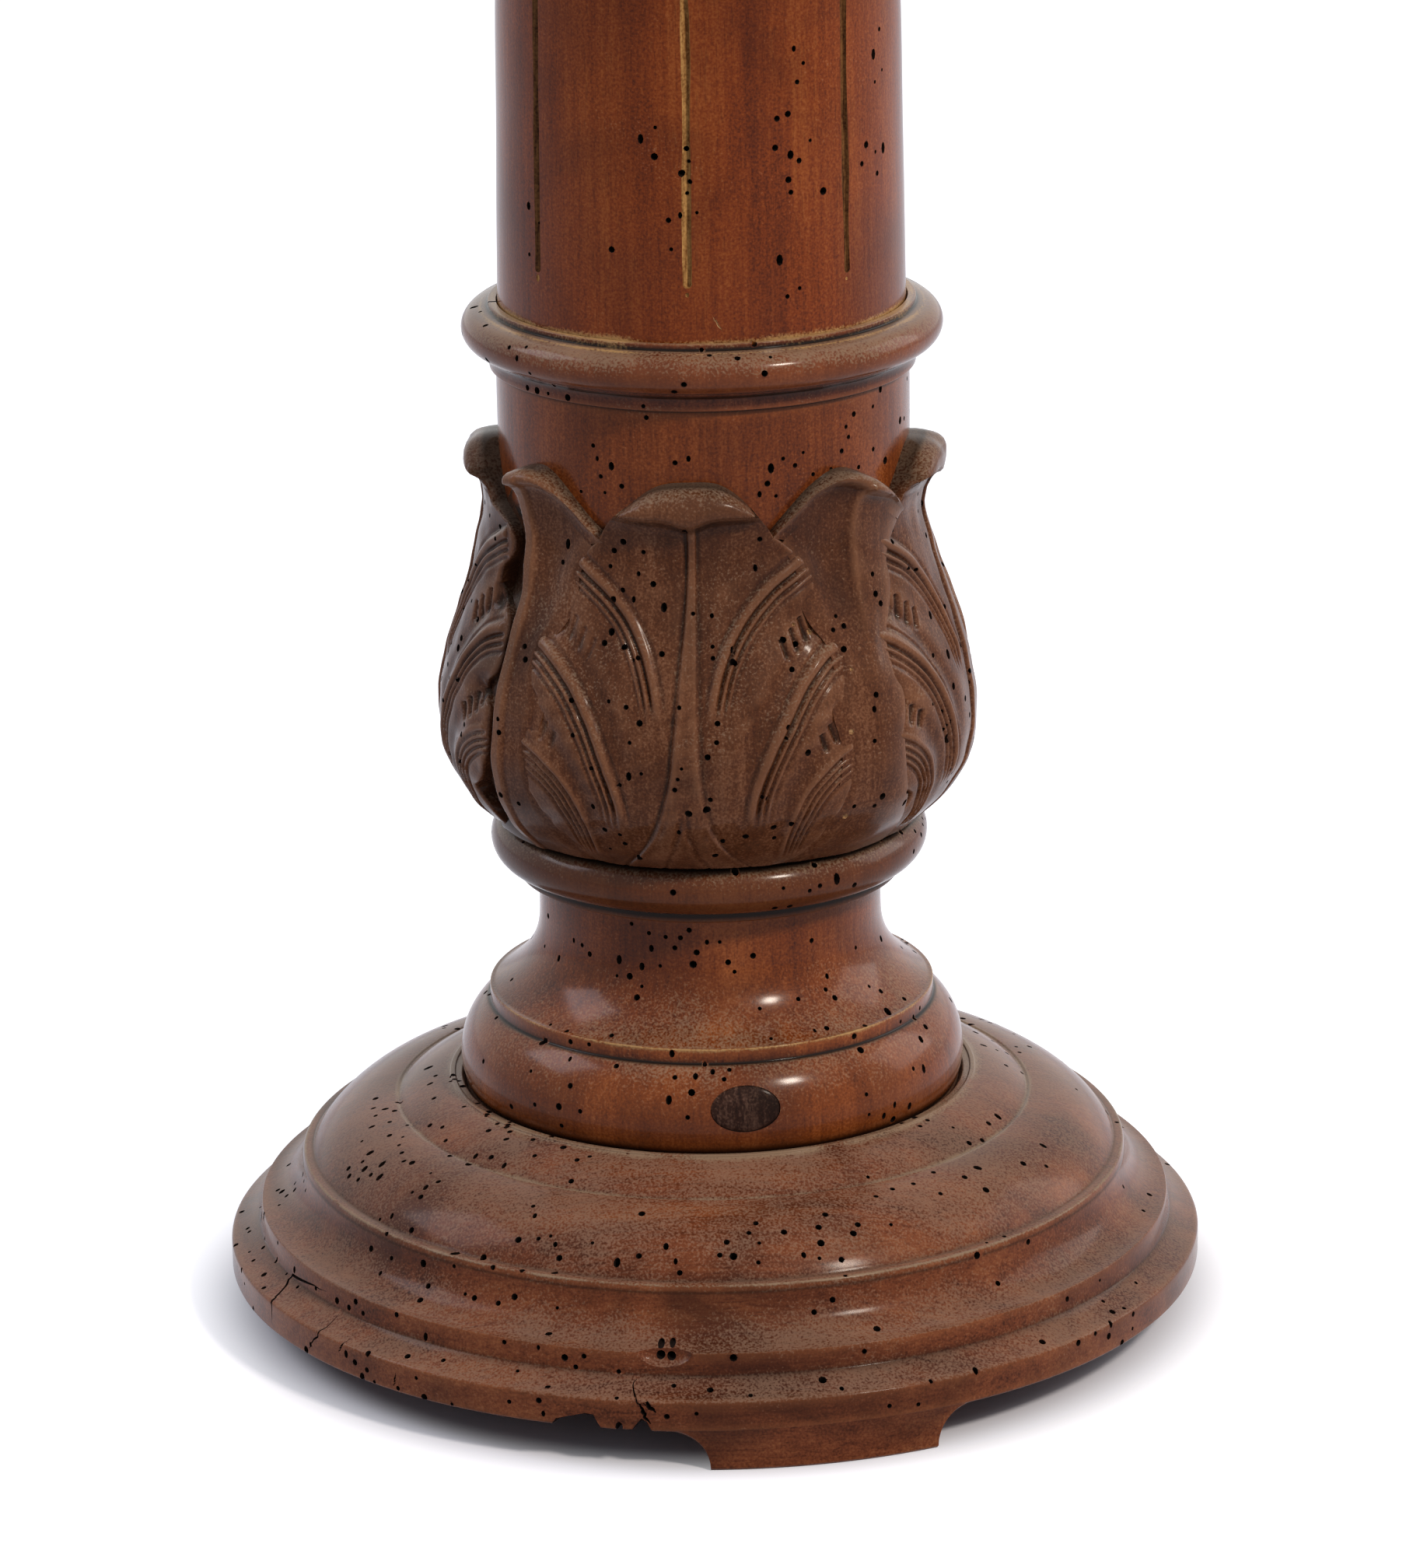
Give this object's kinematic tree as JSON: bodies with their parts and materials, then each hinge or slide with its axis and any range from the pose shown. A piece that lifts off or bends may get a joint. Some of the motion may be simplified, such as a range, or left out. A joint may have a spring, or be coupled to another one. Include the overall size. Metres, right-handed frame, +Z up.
{
  "type": "column pedestal",
  "caption": "Round turned wooden column with a carved leaf bulb, moulded base on bracket feet and a flat round top.",
  "frame": {"origin": "centre of the base, on the floor that the feet stand on", "axes": "+Z up along the column, -Y towards the front, +X to the right seen from the front"},
  "size_m": [0.3, 0.3, 1.1006],
  "materials": {
    "base_wood": "old waxed walnut, dusty, worn dull on top",
    "turned_wood": "turned walnut with an old shellac gloss",
    "carved_wood": "carved walnut, satin, dark in the hollows",
    "patch_wood": "dark end-grain patch",
    "dowel_wood": "bare beech",
    "screw_steel": "old bright steel, dulled"
  },
  "bodies": {
    "root": {"base_plinth": "base_wood", "base_moulding": "base_wood", "base_screws": "screw_steel", "attic_base": "turned_wood", "tenon_wedge": "dowel_wood", "oval_patch": "patch_wood", "lower_collar": "turned_wood", "neck_dowel": "dowel_wood", "carved_bulb": "carved_wood", "shaft_collar": "turned_wood", "shaft_dowel": "dowel_wood", "shaft": "turned_wood", "capital_collar": "turned_wood", "capital_dowel": "dowel_wood", "capital": "turned_wood", "top_screws": "screw_steel", "round_top": "base_wood"}
  },
  "joints": []
}
